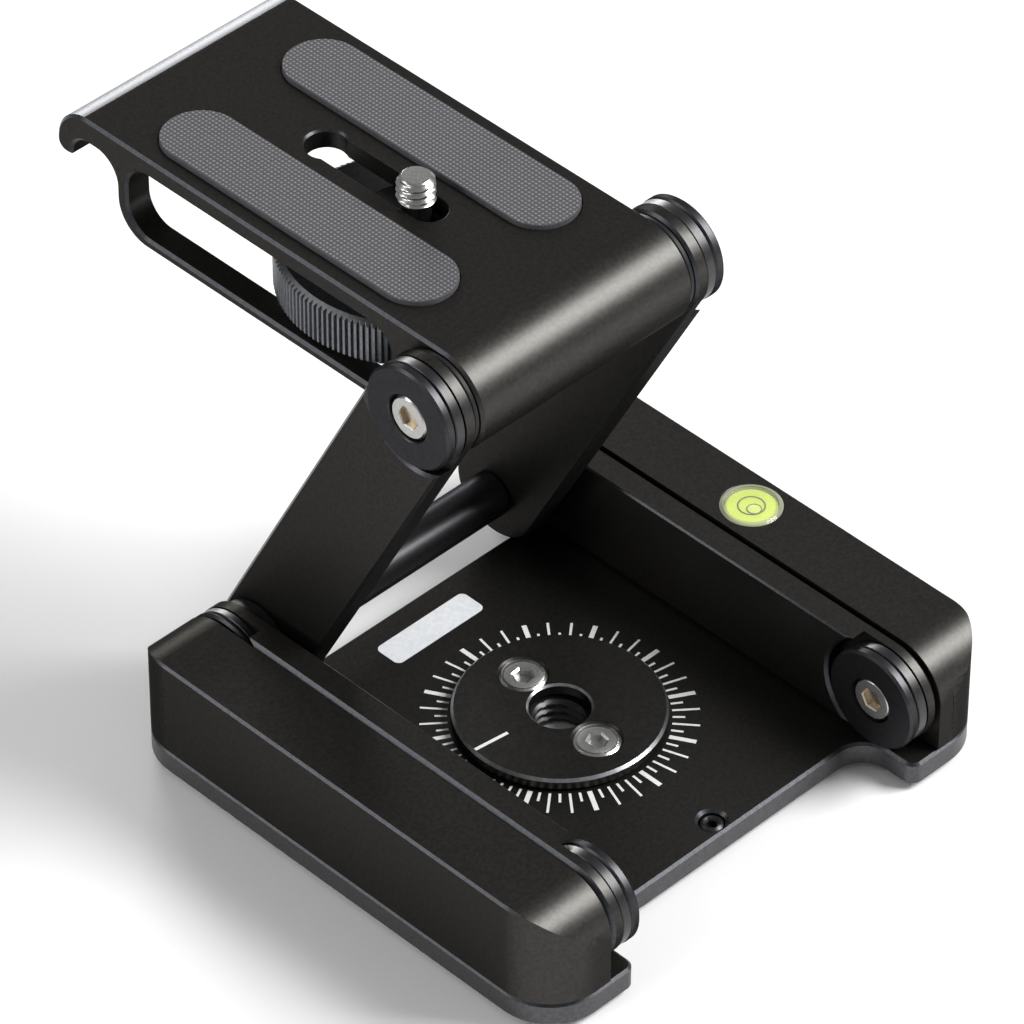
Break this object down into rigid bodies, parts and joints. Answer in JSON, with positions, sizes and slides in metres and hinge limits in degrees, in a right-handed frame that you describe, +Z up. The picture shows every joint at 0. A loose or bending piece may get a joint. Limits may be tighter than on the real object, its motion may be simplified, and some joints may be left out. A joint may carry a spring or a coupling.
{
  "type": "flexible camera tilt head",
  "caption": "Folding black aluminium camera tilt head with friction-hinged arms, a turning pan disc, a bubble level and a padded camera plate with a knurled clamp wheel.",
  "frame": {"origin": "centre of the bounding box's bottom face; z = 0 is the underside of the pan platter, which stands on the tripod", "axes": "+X along the hinge pins towards the bubble level, +Y from the open front of the base to the rear, +Z up out of the camera plate"},
  "size_m": [0.1, 0.1374, 0.0971],
  "materials": {
    "black_alloy": "satin black anodised",
    "black_disc": "satin black anodised",
    "dark_steel": "blackened steel",
    "bright_steel": "turned stainless steel",
    "bronze": "turned bronze",
    "slip_polymer": "low-friction polymer",
    "pad_rubber": "fine woven grip",
    "clear_acrylic": "clear polished",
    "level_fluid": "bright yellow-green"
  },
  "bodies": {
    "pan": {"pan_platter": "black_alloy", "pan_slip_ring": "slip_polymer", "pan_disc": "black_disc", "pan_screw_front": "bright_steel", "pan_screw_rear": "bright_steel", "tripod_bush": "dark_steel"},
    "base": {"base_plate": "black_alloy", "pan_brake_screw": "dark_steel", "side_block_left": "black_alloy", "side_block_right": "black_alloy", "block_screw_front_left": "dark_steel", "block_screw_front_right": "dark_steel", "block_screw_rear_left": "dark_steel", "block_screw_rear_right": "dark_steel", "vial_cup": "clear_acrylic", "vial_fluid": "level_fluid", "vial_lens": "clear_acrylic", "lower_hinge_friction_plate_left": "dark_steel", "lower_hinge_friction_plate_right": "dark_steel", "lower_hinge_cap_left": "black_disc", "lower_hinge_cap_right": "black_disc", "lower_hinge_screw_left": "bright_steel", "lower_hinge_screw_right": "bright_steel"},
    "lower_arms": {"lower_arm_left": "black_alloy", "lower_arm_right": "black_alloy", "lower_hinge_bush_left": "bronze", "lower_hinge_bush_right": "bronze", "middle_hinge_bush_left": "bronze", "middle_hinge_bush_right": "bronze"},
    "upper_frame": {"upper_arm_left": "black_alloy", "upper_arm_right": "black_alloy", "cross_tube": "black_alloy", "upper_hinge_bush_left": "bronze", "upper_hinge_bush_right": "bronze", "middle_hinge_friction_plate_left": "dark_steel", "middle_hinge_friction_plate_right": "dark_steel", "middle_hinge_cap_left": "black_disc", "middle_hinge_cap_right": "black_disc", "middle_hinge_screw_left": "bright_steel", "middle_hinge_screw_right": "bright_steel", "middle_hinge_washer_left": "slip_polymer", "middle_hinge_washer_right": "slip_polymer"},
    "top_plate": {"camera_plate": "black_alloy", "pad_left": "pad_rubber", "pad_right": "pad_rubber", "upper_hinge_friction_plate_left": "dark_steel", "upper_hinge_friction_plate_right": "dark_steel", "upper_hinge_cap_left": "black_disc", "upper_hinge_cap_right": "black_disc", "upper_hinge_screw_left": "bright_steel", "upper_hinge_screw_right": "bright_steel", "upper_hinge_liner_left": "slip_polymer", "upper_hinge_liner_right": "slip_polymer"},
    "carriage": {"slide_washer": "slip_polymer"},
    "camera_clamp": {"camera_screw": "bright_steel", "screw_flange": "bright_steel", "knurled_wheel": "black_disc", "wheel_clip": "bright_steel"}
  },
  "joints": [
    {"name": "pan_swivel", "type": "hinge", "parent": "pan", "child": "base", "pos_m": [0, -0.02093, 0], "axis": [0, 0, 1], "continuous": true},
    {"name": "lower_hinge", "type": "hinge", "parent": "base", "child": "lower_arms", "pos_m": [0, -0.05973, 0.0146], "axis": [1, 0, 0], "range_deg": [0, 120]},
    {"name": "middle_hinge", "type": "hinge", "parent": "lower_arms", "child": "upper_frame", "pos_m": [0, 0.01787, 0.0146], "axis": [1, 0, 0], "range_deg": [-115, 61.5]},
    {"name": "upper_hinge", "type": "hinge", "parent": "upper_frame", "child": "top_plate", "pos_m": [0, -0.01757, 0.08296], "axis": [-1, 0, 0], "range_deg": [-118, 61.5]},
    {"name": "screw_slide", "type": "slide", "parent": "top_plate", "child": "carriage", "axis": [0, 1, 0], "range_m": [0, 0.02]},
    {"name": "wheel_spin", "type": "hinge", "parent": "carriage", "child": "camera_clamp", "pos_m": [0, 0.01103, 0.08296], "axis": [0, 0, 1], "continuous": true}
  ]
}
